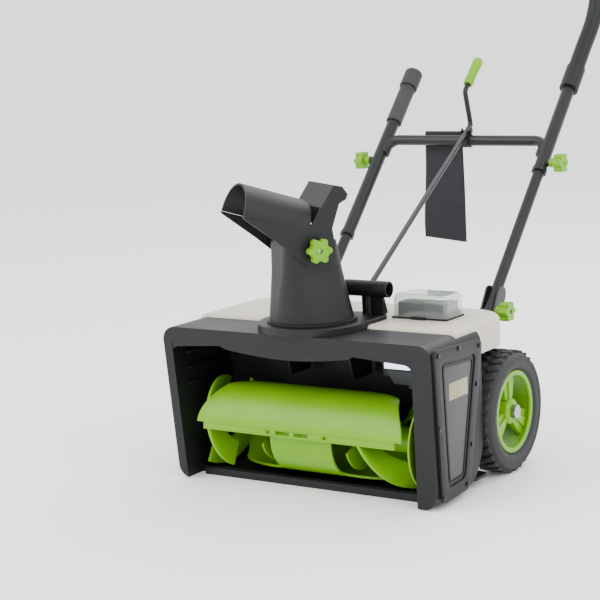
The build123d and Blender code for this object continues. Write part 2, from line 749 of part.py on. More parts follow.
lip_z = collar_top + 0.5
with BuildPart() as chute_tower:
    with BuildSketch(chute_plane.offset(lip_z)) as tower_low:
        RectangleRounded(tower_base, tower_base_side, 54)
    with BuildSketch(chute_plane.offset(tower_shoulder_z)) as tower_mid:
        with Locations((tower_shift * 0.6, 0)):
            RectangleRounded(tower_top + 12, tower_top, 26)
    loft()
    with BuildSketch(chute_plane.offset(tower_shoulder_z)) as shoulder_low:
        with Locations((tower_shift * 0.6, 0)):
            RectangleRounded(tower_top + 12, tower_top, 26)
    with BuildSketch(chute_plane.offset(tower_top_z)) as shoulder_high:
        with Locations((tower_shift, 0)):
            RectangleRounded(tower_top, tower_top, 22)
    loft()
    with BuildSketch(chute_plane.offset(lip_z)) as lip_ring:
        Circle(tower_base / 2 + 5)
    extrude(amount=4)
    # the duct
    with BuildSketch(chute_plane.offset(lip_z - 1)) as duct_low:
        RectangleRounded(2 * neck_r - 6, 2 * neck_r - 6, neck_r - 4)
    with BuildSketch(chute_plane.offset(tower_shoulder_z)) as duct_mid:
        with Locations((tower_shift * 0.6, 0)):
            RectangleRounded(tower_top + 6, tower_top - 6, 23)
    loft(mode=Mode.SUBTRACT)
    with BuildSketch(chute_plane.offset(tower_shoulder_z)) as duct_high:
        with Locations((tower_shift * 0.6, 0)):
            RectangleRounded(tower_top + 6, tower_top - 6, 23)
    with BuildSketch(chute_plane.offset(tower_top_z + 0.5)) as duct_top:
        with Locations((tower_shift, 0)):
            RectangleRounded(tower_top - 6, tower_top - 6, 19)
    loft(mode=Mode.SUBTRACT)
    pivot_plane = Plane(
        origin=chute_plane.from_local_coords((tower_shift, 0, pivot_z)),
        x_dir=chute_plane.x_dir,
        z_dir=chute_plane.y_dir * -1,
    )
    # x along the throw, y up, z across and away from the knob
    with BuildSketch(pivot_plane.offset(-80)) as bolt_hole:
        Circle(chute_bolt_r)
    extrude(amount=160, mode=Mode.SUBTRACT)
save(chute_tower.part, "chute_tower")

plate_in = tower_top / 2 + 0.6
plate_out = plate_in + thin_wall
hood_slope = 18.0
hood_root = (18.0, 30.0)       # from the pivot, along the throw and up
hood_run = 103.0
hood_plane = Plane(
    origin=pivot_plane.from_local_coords((hood_root[0], hood_root[1], 0)),
    x_dir=pivot_plane.z_dir,
    z_dir=pivot_plane.x_dir * cos(radians(hood_slope)) + pivot_plane.y_dir * sin(radians(hood_slope)),
)
plate_points = [
    (-34, 97), (-48, 94), (-57, 82), (-54, 74), (-42, 68), (-29, 31), (-33, 4), (-30, -16), (-16, -25),
    (14, -25), (36, -6), (61, 15), (115.6, 57), (118, 62), (18, 30), (8, 36), (-11, 64),
]
with BuildPart() as deflector:
    for side in (plate_in, -plate_out):
        with BuildSketch(pivot_plane.offset(side)) as plate_outline:
            with BuildLine():
                Polyline(*plate_points, close=True)
            make_face()
        extrude(amount=thin_wall)
    with BuildSketch(hood_plane.offset(-8)) as hood_ring:
        with BuildLine():
            CenterArc((0, 0), plate_out, 0, 180 if hood_plane.y_dir.Z > 0 else -180)
            Line((-plate_out, 0), (-plate_in, 0))
            CenterArc((0, 0), plate_in, 180, -180 if hood_plane.y_dir.Z > 0 else 180)
            Line((plate_in, 0), (plate_out, 0))
        make_face()
    extrude(amount=hood_run + 8)
    with BuildSketch(pivot_plane.offset(-plate_in)) as heel_outline:
        with BuildLine():
            Polyline((-11, 64), (-34, 97), (-48, 94), (-57, 82), (-54, 74), (-42, 68), (-29, 34), (-22, 34),
                     close=True)
        make_face()
    extrude(amount=2 * plate_in)
    with BuildSketch(pivot_plane.offset(-80)) as deflector_hole:
        Circle(chute_bolt_r + 0.05)
    extrude(amount=160, mode=Mode.SUBTRACT)
save(deflector.part, "deflector")

bolt_in = tower_top / 2 - thin_wall
knob_side = pivot_plane.offset(-plate_out - running_gap - seat_gap)
knob_plane = Plane(origin=knob_side.origin, x_dir=pivot_plane.x_dir, z_dir=pivot_plane.z_dir * -1)
with BuildPart() as chute_bolts:
    with BuildSketch(pivot_plane.offset(-plate_out - 14)) as near_bolt:
        Circle(chute_bolt_r)
    extrude(amount=plate_out + 14 - bolt_in)
    with BuildSketch(pivot_plane.offset(-bolt_in)) as near_head:
        Circle(chute_bolt_r + 3)
    extrude(amount=1.5)
    with BuildSketch(pivot_plane.offset(bolt_in)) as far_bolt:
        Circle(chute_bolt_r)
    extrude(amount=plate_out + 4 - bolt_in)
    with BuildSketch(pivot_plane.offset(plate_out + running_gap)) as far_head:
        RectangleRounded(14, 14, 2)
    extrude(amount=5)
save(chute_bolts.part, "chute_bolts")


def star_knob(plane, bore, radius, height):
    """A six-lobed clamping knob with a hub, on a plane that looks outwards."""
    with BuildPart(mode=Mode.PRIVATE) as knob:
        with BuildSketch(plane.offset(height * 0.4)) as star:
            Circle(radius * 0.76)
            with PolarLocations(radius * 0.74, 6):
                Circle(radius * 0.26)
            with PolarLocations(radius * 1.02, 6, start_angle=30):
                Circle(radius * 0.24, mode=Mode.SUBTRACT)
        extrude(amount=height * 0.6)
        chamfer(knob.edges().group_by(SortBy.LENGTH)[-1], 0.4)
        with BuildSketch(plane) as hub:
            Circle(radius * 0.48)
        extrude(amount=height * 0.5)
        with BuildSketch(plane.offset(-1)) as hole:
            Circle(bore)
        extrude(amount=height + 5, mode=Mode.SUBTRACT)
    return knob.part


save(star_knob(knob_plane, chute_bolt_r + 0.05, 20, 18), "chute_knob")

# ---- handle --------------------------------------------------------------------------
cheek_t = 3.0
knob_bolt_out = 26.0
for name, side in (("left", -1), ("right", 1)):
    centre = side * handle_half
    with BuildPart() as foot_bracket:
        for cheek_x in (centre - tube_r - 0.6 - cheek_t, centre + tube_r + 0.6):
            with BuildSketch(Plane.YZ.offset(cheek_x)) as cheek:
                head = on_tube(0, pivot_handle_z + 24)
                run_y = head.Y - wheel_y
                run_z = head.Z - wheel_r
                with Locations((wheel_y + run_y / 2, wheel_r + run_z / 2)):
                    SlotCenterToCenter(hypot(run_y, run_z), 28, rotation=degrees(atan2(run_z, run_y)))
            extrude(amount=cheek_t)
        with Locations((centre, wheel_y, wheel_r)):
            Cylinder(14, 2 * tube_r + 1.2, rotation=(0, 90, 0))
            Cylinder(axle_r + 0.1, 60, rotation=(0, 90, 0), mode=Mode.SUBTRACT)
        spacer = on_tube(centre, pivot_handle_z - 60)
        with Locations((spacer.X, spacer.Y + 2, spacer.Z)):
            Cylinder(8, 2 * tube_r + 1.2, rotation=(0, 90, 0))
        with Locations((centre, pivot_y, pivot_handle_z)):
            Cylinder(fold_bolt_r + 0.02, 60, rotation=(0, 90, 0), mode=Mode.SUBTRACT)
    save(foot_bracket.part, f"handle_bracket_{name}")

    sleeve_start = left_sleeve_z if side < 0 else right_sleeve_z
    with BuildPart() as lower_tube:
        with BuildSketch(tube_plane(centre, pivot_handle_z - 14)) as tube_ring:
            Circle(tube_r)
            Circle(tube_r - 1.6, mode=Mode.SUBTRACT)
        extrude(amount=tube_run(pivot_handle_z - 14, 560 if side > 0 else 520))
        with Locations((centre, pivot_y, pivot_handle_z)):
            Cylinder(fold_bolt_r + 0.05, 60, rotation=(0, 90, 0), mode=Mode.SUBTRACT)
    save(lower_tube.part, f"lower_tube_{name}")

    knob_face = Plane(origin=(centre + side * (tube_r + 0.6 + cheek_t + 0.6), pivot_y, pivot_handle_z),
                      x_dir=(0, 1, 0), z_dir=(side, 0, 0))
    save(star_knob(knob_face, fold_bolt_r + 0.05, 17, 26), f"fold_knob_{name}")

    clamp_point = on_tube(centre, upper_knob_z)
    clamp_face = Plane(origin=(clamp_point.X + side * (sleeve_r + 4.2), clamp_point.Y, clamp_point.Z),
                       x_dir=(0, 1, 0), z_dir=(side, 0, 0))
    save(star_knob(clamp_face, 3.05, 17, 26), f"height_knob_{name}")

bolt_length = 2 * (tube_r + cheek_t) + knob_bolt_out
with BuildPart() as fold_bolts:
    for side in (-1, 1):
        with Locations((side * (handle_half + knob_bolt_out / 2 - 4), pivot_y, pivot_handle_z)):
            Cylinder(fold_bolt_r, bolt_length, rotation=(0, 90, 0))
save(fold_bolts.part, "fold_bolts")

with BuildPart() as height_bolts:
    for side in (-1, 1):
        clamp_point = on_tube(side * handle_half, upper_knob_z)
        with Locations((clamp_point.X + side * (sleeve_r + 14), clamp_point.Y, clamp_point.Z)):
            Cylinder(3, 26, rotation=(0, 90, 0))
save(height_bolts.part, "height_bolts")

with BuildPart() as upper_frame:
    for side, low_z in ((-1, left_sleeve_z), (1, right_sleeve_z)):
        with BuildSketch(tube_plane(side * handle_half, low_z)) as sleeve_ring:
            Circle(sleeve_r)
        extrude(amount=tube_run(low_z, tube_top_z))
        with BuildSketch(tube_plane(side * handle_half, low_z)) as sleeve_cuff:
            Circle(sleeve_r + 1.6)
        extrude(amount=8)
    corner = 26.0
    drop = on_tube(0, crossbar_z - 24)
    bar_reach = handle_half - 8
    with BuildLine() as bar_path:
        FilletPolyline(
            (-bar_reach, drop.Y, drop.Z),
            (-bar_reach, bar_y, crossbar_z),
            (bar_reach, bar_y, crossbar_z),
            (bar_reach, drop.Y, drop.Z),
            radius=20,
        )
    with BuildSketch(Plane(origin=bar_path.line @ 0, z_dir=bar_path.line % 0)) as bar_ring:
        Circle(tube_r)
    sweep()
    for side, low_z in ((-1, left_sleeve_z), (1, right_sleeve_z)):
        with BuildSketch(tube_plane(side * handle_half, low_z - 5)) as sleeve_bore:
            Circle(tube_r + running_gap)
        extrude(amount=tube_run(low_z - 5, tube_top_z + 5), mode=Mode.SUBTRACT)
        boss = on_tube(side * handle_half, upper_knob_z)
        with Locations((boss.X + side * (sleeve_r + 1), boss.Y, boss.Z)):
            Cylinder(7, 5, rotation=(0, 90, 0))
        with Locations((boss.X + side * (sleeve_r + 1), boss.Y, boss.Z)):
            Cylinder(3, 12, rotation=(0, 90, 0), mode=Mode.SUBTRACT)
        with BuildSketch(tube_plane(side * handle_half, upper_knob_z - 12)) as bore_again:
            Circle(tube_r + running_gap)
        extrude(amount=tube_run(upper_knob_z - 12, upper_knob_z + 12), mode=Mode.SUBTRACT)
save(upper_frame.part, "upper_frame")

with BuildPart() as left_grip:
    with BuildSketch(tube_plane(-handle_half, grip_low_z)) as grip_ring:
        Circle(sleeve_r + grip_wall)
        Circle(sleeve_r + 0.02, mode=Mode.SUBTRACT)
    extrude(amount=tube_run(grip_low_z, grip_mid_z))
save(left_grip.part, "left_grip")

with BuildPart() as left_grip_cap:
    with BuildSketch(tube_plane(-handle_half, grip_mid_z + 0.2)) as cap_round:
        Circle(sleeve_r + cap_wall)
    extrude(amount=tube_run(grip_mid_z, grip_high_z))
    fillet(left_grip_cap.edges().sort_by(Axis.Z)[-1], 5)
    with BuildSketch(tube_plane(-handle_half, grip_mid_z - 2)) as cap_bore:
        Circle(sleeve_r + 0.02)
    extrude(amount=tube_run(grip_mid_z - 2, tube_top_z + 0.1), mode=Mode.SUBTRACT)
save(left_grip_cap.part, "left_grip_cap")

button_x = handle_half - 37.0
lever_x = handle_half - 56.0
# control handle on the belt side: a swan neck that turns in to a level grip
neck_points = [
    on_tube(handle_half, tube_top_z + 2),
    Vector(handle_half + 3, 698, 668),
    Vector(handle_half + 7, 724, 705),
    Vector(handle_half + 9, 742, 748),
    Vector(handle_half + 5, 752, 792),
    Vector(handle_half - 17, 760, 826),
    Vector(handle_half - 55, 763, 842),
    Vector(handle_half - 137, 763, 844),
]
with BuildPart() as control_handle:
    with BuildLine() as neck_line:
        Spline(*neck_points, tangents=[along, (-1, 0, 0)])
    with BuildSketch(Plane(origin=neck_line.line @ 0, z_dir=neck_line.line % 0)) as neck_round:
        Circle(sleeve_r + neck_wall)
    sweep()
    with BuildSketch(tube_plane(handle_half, tube_top_z - 22)) as socket_round:
        Circle(sleeve_r + cap_wall)
    extrude(amount=tube_run(tube_top_z - 22, tube_top_z + 14))
    with BuildSketch(tube_plane(handle_half, tube_top_z - 24)) as socket_bore:
        Circle(sleeve_r + 0.02)
    extrude(amount=tube_run(tube_top_z - 24, tube_top_z + 0.1), mode=Mode.SUBTRACT)
    # slot for the trigger under the grip, and the button's well on top
    with Locations((handle_half - 81, 763, 835.5)):
        Box(66, 10.8, 21, mode=Mode.SUBTRACT)
    with Locations((button_x, 762, 846)):
        Cylinder(6.3, 22, mode=Mode.SUBTRACT)
save(control_handle.part, "control_handle")

with BuildPart() as trigger:
    with BuildSketch(Plane.XZ.offset(-763 - 5)) as trigger_outline:
        with BuildLine():
            Polyline((lever_x - 53, 838), (lever_x + 4, 838), (lever_x + 4, 830), (lever_x - 3, 818),
                     (lever_x - 37, 816), (lever_x - 53, 826), close=True)
        make_face()
        fillet(trigger_outline.vertices(), 2)
    extrude(amount=10)
    with Locations((lever_x, 763, 834)):
        Cylinder(1.6, 40, rotation=(90, 0, 0), mode=Mode.SUBTRACT)
save(trigger.part, "trigger")
with BuildPart() as trigger_pin:
    with Locations((lever_x, 763, 834)):
        Cylinder(1.5, 10.7, rotation=(90, 0, 0))
save(trigger_pin.part, "trigger_pin")
with BuildPart() as lock_button:
    with Locations((button_x, 762, 851)):
        Cylinder(6, 20)
    fillet(lock_button.edges().sort_by(Axis.Z)[-1], 1.5)
save(lock_button.part, "lock_button")

# ---- crank ---------------------------------------------------------------------------
rod_end = rod_over + rod_dir * 24
rod_plane = Plane(origin=rod_foot, x_dir=(1, 0, 0), z_dir=rod_dir)
arm_top = rod_end + Vector(0, -20, 62)
grip_dir = Vector(0, 0.735, 0.678)
with BuildPart() as crank_rod:
    with BuildSketch(rod_plane.offset(8)) as rod_round:
        Circle(rod_r)
    extrude(amount=(rod_end - rod_foot).length - 8)
    with BuildLine() as arm_path:
        FilletPolyline(rod_end - rod_dir * 16, rod_end, arm_top, arm_top + grip_dir * 20, radius=9)
    with BuildSketch(Plane(origin=arm_path.line @ 0, z_dir=arm_path.line % 0)) as arm_round:
        Circle(rod_r)
    sweep()
    grip_plane = Plane(origin=arm_top + grip_dir * 12, x_dir=(1, 0, 0), z_dir=grip_dir)
    with BuildSketch(grip_plane) as spindle:
        Circle(rod_r)
    extrude(amount=62)
save(crank_rod.part, "crank_rod")

with BuildPart() as crank_grip:
    with BuildSketch(grip_plane.offset(4)) as crank_grip_low:
        Circle(9.5)
    extrude(amount=64)
    fillet(crank_grip.edges(), 2.5)
    with BuildSketch(grip_plane.offset(3)) as grip_bore:
        Circle(rod_r + running_gap)
    extrude(amount=60, mode=Mode.SUBTRACT)
save(crank_grip.part, "crank_grip")

guide_side = 3.2               # the rod crosses the hook at a slant as the handle slides
with BuildPart() as rod_guide:
    with BuildSketch(Plane.YZ.offset(-6)) as guide_band:
        with Locations((bar_y, crossbar_z)):
            Circle(tube_r + 3)
            Circle(tube_r + 0.05, mode=Mode.SUBTRACT)
    extrude(amount=16)
    guide_plane = Plane(origin=rod_over - rod_dir * 5, x_dir=(1, 0, 0), z_dir=rod_dir)
    with BuildSketch(guide_plane) as guide_hook:
        Circle(rod_r + guide_side + 2.6)
    extrude(amount=10)
    with BuildSketch(guide_plane.offset(-20)) as guide_gap:
        Circle(rod_r + 0.8)
        with Locations((0, 10 if guide_plane.y_dir.Z > 0 else -10)):
            Rectangle(2 * (rod_r + guide_side), 20)
    extrude(amount=44, mode=Mode.SUBTRACT)
    with Locations((0, bar_y, crossbar_z)):
        Cylinder(tube_r + 0.05, 100, rotation=(0, 90, 0), mode=Mode.SUBTRACT)
save(rod_guide.part, "rod_guide")

with BuildPart() as hanging_strap:
    with Locations((-51, bar_y + tube_r + 2.4, 416)):
        Box(76, 3, 206)
save(hanging_strap.part, "hanging_strap")
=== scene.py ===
import json
import math

import bmesh
import bpy
from mathutils import Matrix, Vector


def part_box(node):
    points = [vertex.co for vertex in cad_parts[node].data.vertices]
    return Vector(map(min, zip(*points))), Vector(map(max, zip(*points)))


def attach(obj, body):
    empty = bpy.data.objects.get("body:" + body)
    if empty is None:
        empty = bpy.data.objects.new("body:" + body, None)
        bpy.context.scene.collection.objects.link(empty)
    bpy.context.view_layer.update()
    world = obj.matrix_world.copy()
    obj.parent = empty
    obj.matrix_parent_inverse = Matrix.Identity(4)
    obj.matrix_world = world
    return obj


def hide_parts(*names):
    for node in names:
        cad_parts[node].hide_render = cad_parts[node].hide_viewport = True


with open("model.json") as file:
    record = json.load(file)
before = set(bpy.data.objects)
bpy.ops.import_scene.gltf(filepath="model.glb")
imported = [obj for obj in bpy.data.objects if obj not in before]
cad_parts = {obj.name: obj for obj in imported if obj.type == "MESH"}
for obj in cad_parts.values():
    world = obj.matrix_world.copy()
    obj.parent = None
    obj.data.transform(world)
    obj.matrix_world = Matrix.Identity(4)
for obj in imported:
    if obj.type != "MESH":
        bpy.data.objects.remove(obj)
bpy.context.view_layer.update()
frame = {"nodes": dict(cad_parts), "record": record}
nodes = frame["nodes"]
mm = 0.001
xAxis = Vector((1, 0, 0))
print("frame loaded", len(nodes), "nodes")


# ---- materials

def linear(code):
    # sRGB hex to linear colour
    out = []
    for at in (0, 2, 4):
        c = int(code[at:at + 2], 16) / 255
        out.append(c / 12.92 if c <= 0.04045 else ((c + 0.055) / 1.055) ** 2.4)
    return (*out, 1)


def addNode(tree, kind, settings, links=()):
    node = tree.nodes.new(kind)
    for key, value in settings.items():
        if key in node.inputs:
            node.inputs[key].default_value = value
        else:
            setattr(node, key, value)
    for key, socket in dict(links).items():
        tree.links.new(socket, node.inputs[key])
    return node


def newMaterial(name, shader):
    mat = bpy.data.materials.new(name)
    mat.use_nodes = True
    tree = mat.node_tree
    body = tree.nodes["Principled BSDF"]
    for key, value in shader.items():
        body.inputs[key].default_value = value
    return mat, tree, body


def grain(tree, body, size, height, low, high, patch=60 * mm, rough=None):
    # a fine bump of the given size, and a slow drift between two colours
    place = addNode(tree, "ShaderNodeTexCoord", {})
    spot = {"Vector": place.outputs["Object"]}
    fine = addNode(tree, "ShaderNodeTexNoise", {"Scale": 1 / size, "Detail": 3.0}, spot)
    bump = addNode(tree, "ShaderNodeBump", {"Strength": 1.0, "Distance": height},
                   {"Height": fine.outputs["Fac"]})
    tree.links.new(bump.outputs["Normal"], body.inputs["Normal"])
    slow = addNode(tree, "ShaderNodeTexNoise", {"Scale": 1 / patch, "Detail": 4.0}, spot)
    tint = addNode(tree, "ShaderNodeMix", {"data_type": "RGBA"}, {0: slow.outputs["Fac"]})
    tint.inputs[6].default_value = linear(low)
    tint.inputs[7].default_value = linear(high)
    tree.links.new(tint.outputs[2], body.inputs["Base Color"])
    if rough:
        span = addNode(tree, "ShaderNodeMapRange", {"To Min": rough[0], "To Max": rough[1]},
                       {"Value": slow.outputs["Fac"]})
        tree.links.new(span.outputs["Result"], body.inputs["Roughness"])


def mouldedPolypropylene():
    # injection-moulded, spark-eroded finish: dark, with broad soft highlights
    mat, tree, body = newMaterial("mouldedCharcoalPolypropylene", {"IOR": 1.49, "Specular IOR Level": 0.3})
    # the grit is drawn coarse, so that it shows
    grain(tree, body, 1.6 * mm, 0.05 * mm, "0E0F10", "151617", rough=(0.4, 0.54))
    return mat


def greyRimPolypropylene():
    # the same plastic with a smoother, paler finish, on the cover's field and the panel in the mouth
    mat, tree, body = newMaterial("mouldedGreyRimPolypropylene", {"IOR": 1.49})
    grain(tree, body, 1.6 * mm, 0.04 * mm, "26282A", "303234", rough=(0.4, 0.52))
    return mat


def limeAbs():
    # satin moulded ABS with a faint flow pattern
    mat, tree, body = newMaterial("mouldedLimeAbs", {"IOR": 1.5, "Specular IOR Level": 0.3})
    grain(tree, body, 9 * mm, 0.03 * mm, "5E9400", "72A800", patch=90 * mm, rough=(0.3, 0.4))
    return mat


def powderCoatedSteel():
    # powder coat has a slight orange peel that breaks up the long highlights on a tube
    mat, tree, body = newMaterial("powderCoatedSteelTube", {"IOR": 1.5, "Specular IOR Level": 0.35})
    grain(tree, body, 2.2 * mm, 0.06 * mm, "101112", "18191B", rough=(0.28, 0.4))
    return mat


def creamAbs():
    mat, tree, body = newMaterial("mouldedCreamAbs", {"IOR": 1.53})  # warm, close to matt
    grain(tree, body, 2 * mm, 0.04 * mm, "BFB7A6", "CEC7B8", rough=(0.42, 0.55))
    return mat


def clearPolycarbonate():
    # clear moulded shell: sharp glints, and darker where it is seen edge on
    mat, tree, body = newMaterial("mouldedClearPolycarbonate", {"IOR": 1.58, "Transmission Weight": 0.92,
                                                                "Roughness": 0.06})
    grain(tree, body, 14 * mm, 0.02 * mm, "E9EEF0", "F6F9FA")
    return mat


def litLampLens():
    # clear ribbed lens over lit white diodes, so it glows a little blue
    mat, tree, body = newMaterial("litPolycarbonateLens", {"IOR": 1.58, "Roughness": 0.15,
                                                           "Emission Strength": 2.5})
    body.inputs["Emission Color"].default_value = linear("DDE6FF")
    grain(tree, body, 3 * mm, 0.3 * mm, "DCE3EA", "F4F7FA")
    return mat


def tyreRubber():
    mat, tree, body = newMaterial("mouldedTyreRubber", {"IOR": 1.52})  # dull, with a dusty bloom
    grain(tree, body, 1.8 * mm, 0.12 * mm, "17181A", "26282A", patch=25 * mm, rough=(0.62, 0.82))
    return mat


def gripRubber():
    mat, tree, body = newMaterial("mouldedGripRubber", {"IOR": 1.52})
    grain(tree, body, 1.4 * mm, 0.1 * mm, "1A1B1D", "242628", rough=(0.6, 0.74))
    return mat


def zincPlatedSteel():
    mat, tree, body = newMaterial("zincPlatedSteel", {"Metallic": 1.0})  # pale, with a drawn streak
    grain(tree, body, 1.2 * mm, 0.02 * mm, "8E9092", "B4B6B8", rough=(0.24, 0.4))
    return mat


def plainDecal():
    mat, tree, body = newMaterial("printedVinylDecal", {"IOR": 1.46})  # smooth film, paler than the cover
    grain(tree, body, 6 * mm, 0.01 * mm, "8A8460", "989270", rough=(0.22, 0.3))
    return mat


def wovenNylon():
    # threads 1.2 mm apart, drawn 3 mm so that the weave shows, with a soft sheen
    mat, tree, body = newMaterial("wovenNylonWebbing", {"Roughness": 0.8, "Sheen Weight": 0.35,
                                                        "Sheen Roughness": 0.4})
    place = addNode(tree, "ShaderNodeTexCoord", {})
    bands = {}
    for axis in ("X", "Z"):
        settings = {"Scale": 1 / (3 * mm) / 6.2832 * 2, "bands_direction": axis}
        wave = addNode(tree, "ShaderNodeTexWave", settings, {"Vector": place.outputs["Object"]})
        bands[axis] = wave.outputs["Fac"]
    weave = addNode(tree, "ShaderNodeMath", {"operation": "MULTIPLY"}, {0: bands["X"], 1: bands["Z"]})
    bump = addNode(tree, "ShaderNodeBump", {"Strength": 1.0, "Distance": 0.3 * mm},
                   {"Height": weave.outputs[0]})
    tree.links.new(bump.outputs["Normal"], body.inputs["Normal"])
    # the colour follows the weave's bump height: the gaps between threads are painted shade, darker than the
    # raised threads
    tint = addNode(tree, "ShaderNodeMix", {"data_type": "RGBA"}, {0: weave.outputs[0]})
    tint.inputs[6].default_value = linear("0C0D10")
    tint.inputs[7].default_value = linear("23252B")
    tree.links.new(tint.outputs[2], body.inputs["Base Color"])
    return mat


charcoal = mouldedPolypropylene()
greyRim = greyRimPolypropylene()
lime = limeAbs()
blackTube = powderCoatedSteel()
cream = creamAbs()
clear = clearPolycarbonate()
tyreMat = tyreRubber()
grip = gripRubber()
steel = zincPlatedSteel()
decal = plainDecal()
webbing = wovenNylon()

finishOf = {
    "black_moulding": charcoal, "black_tube": blackTube, "lime_moulding": lime, "cream_moulding": cream,
    "clear_lid": clear, "tyre_rubber": tyreMat, "steel": steel, "soft_grip": grip, "strap_fabric": webbing,
    "lamp_clear": litLampLens(), "belt_rubber": grip,
}
for entry in frame["record"]["subparts"]:
    for place in nodes[entry["node"]].material_slots:
        place.material = finishOf[entry["material_slot"]]
for place in nodes["cover_screws"].material_slots:
    place.material = blackTube   # blackened heads


# ---- helpers for new pieces

def pieceFrom(bm, name, body, material, bevel=0.0, wall=0.0, recalc=True):
    bmesh.ops.remove_doubles(bm, verts=bm.verts, dist=0.01 * mm)
    if recalc:
        bmesh.ops.recalc_face_normals(bm, faces=bm.faces)
    mesh = bpy.data.meshes.new(name)
    bm.to_mesh(mesh)
    bm.free()
    piece = bpy.data.objects.new(name, mesh)
    bpy.context.scene.collection.objects.link(piece)
    mesh.materials.append(material)
    if wall:
        shell = piece.modifiers.new("wall", "SOLIDIFY")
        shell.thickness = wall
        shell.offset = 0
    if bevel:
        edge = piece.modifiers.new("edge", "BEVEL")
        edge.width = bevel
        edge.segments = 3
        edge.limit_method = "ANGLE"
        edge.angle_limit = math.radians(35)
    for face in mesh.polygons:
        face.use_smooth = True
    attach(piece, body)
    return piece


def turned(bm, outline, centre, axis, steps=96):
    # spins a closed or open outline of (along, radius) points about an axis through centre
    axis = axis.normalized()
    side = axis.cross(Vector((0.31, 0.17, 0.93))).normalized()
    ring = [bm.verts.new(centre + axis * a + side * r) for a, r in outline]
    edges = [bm.edges.new(pair) for pair in zip(ring, ring[1:] + ring[:1])]
    bmesh.ops.spin(bm, geom=ring + edges, cent=centre, axis=axis, angle=math.tau, steps=steps, use_merge=True)


def swept(bm, start, turn, steps, moveBy):
    # draws a ribbon by extruding an edge and moving it on, a step at a time
    verts = [bm.verts.new(p) for p in start]
    edges = [bm.edges.new(pair) for pair in zip(verts, verts[1:])]
    for step in range(steps):
        made = bmesh.ops.extrude_edge_only(bm, edges=edges)["geom"]
        verts = [g for g in made if isinstance(g, bmesh.types.BMVert)]
        edges = [g for g in made if isinstance(g, bmesh.types.BMEdge) and all(v in verts for v in g.verts)]
        for vert in verts:
            vert.co = moveBy(vert.co, step / steps, turn / steps)


def pushOut(bm, faces, depth):
    made = bmesh.ops.extrude_face_region(bm, geom=faces)["geom"]
    bmesh.ops.translate(bm, vec=depth, verts=[g for g in made if isinstance(g, bmesh.types.BMVert)])


def prism(bm, outline, depth):
    # a flat outline pushed along depth
    pushOut(bm, [bm.faces.new([bm.verts.new(p) for p in outline])], depth)


def block(bm, centre, size, turn=Matrix()):
    made = bmesh.ops.create_cube(bm, size=1)["verts"]
    place = Matrix.Translation(centre) @ turn @ Matrix.Diagonal((*size, 1))
    bmesh.ops.transform(bm, matrix=place, verts=made)


def middle(node):
    low, high = (Vector(p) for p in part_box(node))
    return (low + high) / 2, (high - low) / 2


# ---- auger: two curved shells half a turn apart, a winding flight at each end, and a dish on the belt side

augerSizes = {"hub": 20 * mm, "wall": 4 * mm, "edgeAt": 80, "shellTurn": -200, "innerReach": 57 * mm,
              "reach": 188 * mm, "narrow": 0.46, "strip": 12 * mm, "rail": 3 * mm, "boss": 6 * mm,
              "bosses": (-52 * mm, 52 * mm), "slots": ((-38 * mm, -12 * mm), (-4 * mm, 22 * mm)),
              "bossHole": 3 * mm, "bossDeep": 3.5 * mm, "railDeep": 4 * mm, "dishThick": 3 * mm,
              "flightRings": (34 * mm, 48 * mm, 61 * mm)}


def around(angle):
    return Matrix.Rotation(math.radians(angle), 4, "X")


def smoothStep(value, low, high):
    t = min(1, max(0, (value - low) / (high - low)))
    return t * t * (3 - 2 * t)


def spun(centre, co, angle):
    return centre + Matrix.Rotation(math.radians(angle), 3, "X") @ (co - centre)


def buildAugerShells(centre, outer):
    s = augerSizes
    bm = bmesh.new()
    for start in (s["edgeAt"], s["edgeAt"] + 180):

        def widthAt(share):
            # full width at the leading edge, then narrow behind it
            return 1 - (1 - s["narrow"]) * smoothStep(share, 0.3, 0.55) - 0.16 * smoothStep(share, 0, 0.35)

        def curl(co, share, angle):
            flat = co - centre
            after = share + 1 / 48
            wanted = outer - (outer - s["innerReach"]) * after
            radius = math.hypot(flat.y, flat.z)
            x = flat.x * widthAt(after) / widthAt(share)
            flat = Vector((x, flat.y * wanted / radius, flat.z * wanted / radius))
            return spun(centre, centre + flat, angle)

        edge = [around(start) @ Vector((s["reach"] * n / 8, 0, outer)) for n in range(-8, 9)]
        swept(bm, [centre + p for p in edge], s["shellTurn"], 48, curl)
    pieceFrom(bm, "augerShells", "auger", lime, bevel=0.8 * mm, wall=s["wall"])


def buildAugerStrips(centre, outer):
    # two rails with solid stretches, bosses and open slots between them
    s = augerSizes
    strips = bmesh.new()
    bosses = bmesh.new()
    half = s["reach"] - 12 * mm
    solid = [(-half, s["bosses"][0] - s["boss"]), (s["bosses"][1] + s["boss"], half),
             (s["bosses"][0] + s["boss"], s["slots"][0][0]), (s["slots"][0][1], s["slots"][1][0]),
             (s["slots"][1][1], s["bosses"][1] - s["boss"])]
    for start in (s["edgeAt"] + 4, s["edgeAt"] + 184):
        turn = around(start)
        for side in (-1, 1):
            at = Vector((0, side * (s["strip"] - s["rail"]) / 2, outer - 1.5 * mm))
            block(strips, centre + turn @ at, (2 * half, s["rail"], s["railDeep"]), turn)
        for low, high in solid:
            at = Vector(((low + high) / 2, 0, outer - 1.5 * mm))
            block(strips, centre + turn @ at, (high - low, s["strip"] - s["rail"], s["railDeep"]), turn)
        for x in s["bosses"]:
            back = outer - s["bossDeep"]
            ring = [(back, s["boss"]), (outer, s["boss"]), (outer, s["bossHole"]), (back, s["bossHole"])]
            turned(bosses, ring, centre + Vector((x, 0, 0)), (turn @ Vector((0, 0, 1, 0))).xyz, 32)
    pieceFrom(strips, "augerStrips", "auger", lime, bevel=0.6 * mm)
    pieceFrom(bosses, "augerBosses", "auger", lime, bevel=0.4 * mm)


